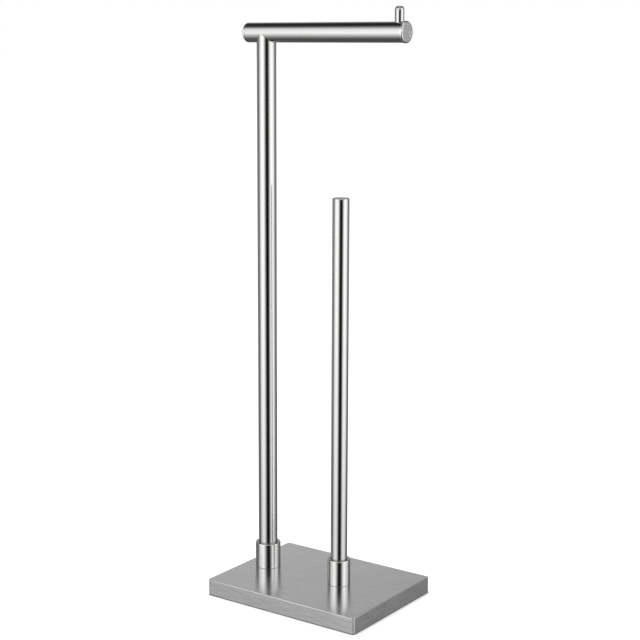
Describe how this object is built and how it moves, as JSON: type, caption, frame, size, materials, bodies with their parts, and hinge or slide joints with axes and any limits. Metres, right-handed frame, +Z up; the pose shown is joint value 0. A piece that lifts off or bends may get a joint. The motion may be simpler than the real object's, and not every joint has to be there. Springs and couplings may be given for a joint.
{
  "type": "freestanding toilet paper holder",
  "caption": "Freestanding brushed steel toilet paper holder: a tall pole with a side arm for the roll in use, and a shorter pole for spare rolls, on a weighted plate.",
  "frame": {"origin": "middle of the base plate's underside, on the floor", "axes": "+Z up, +X along the plate's long side to the arm's free end, +Y to the back"},
  "size_m": [0.212, 0.158, 0.668],
  "materials": {
    "plate_steel": "satin, straight grain along the plate",
    "socket_steel": "fine turned, near polished",
    "pole_steel": "ground and polished round the tube",
    "arm_steel": "ground and polished round the tube",
    "cap_steel": "turned, fine rings",
    "pin_steel": "polished",
    "zinc_steel": "bright zinc plated",
    "slab_paint": "matt primer",
    "pad_rubber": "matt"
  },
  "bodies": {
    "root": {"base_pad": "pad_rubber", "base_weight": "slab_paint", "base_cover": "plate_steel", "main_socket": "socket_steel", "reserve_socket": "socket_steel", "main_pole": "pole_steel", "reserve_pole": "pole_steel", "reserve_pole_cap": "cap_steel", "arm_tube": "arm_steel", "arm_front_cap": "cap_steel", "arm_rear_cap": "cap_steel", "stop_pin": "pin_steel", "arm_block": "zinc_steel", "arm_stud": "zinc_steel", "pole_top_plug": "zinc_steel", "joint_grub_screw": "zinc_steel", "main_foot_plug": "zinc_steel", "reserve_foot_plug": "zinc_steel", "main_base_screw": "zinc_steel", "reserve_base_screw": "zinc_steel", "main_flat_washer": "zinc_steel", "reserve_flat_washer": "zinc_steel", "main_spring_washer": "zinc_steel", "reserve_spring_washer": "zinc_steel"}
  },
  "joints": []
}
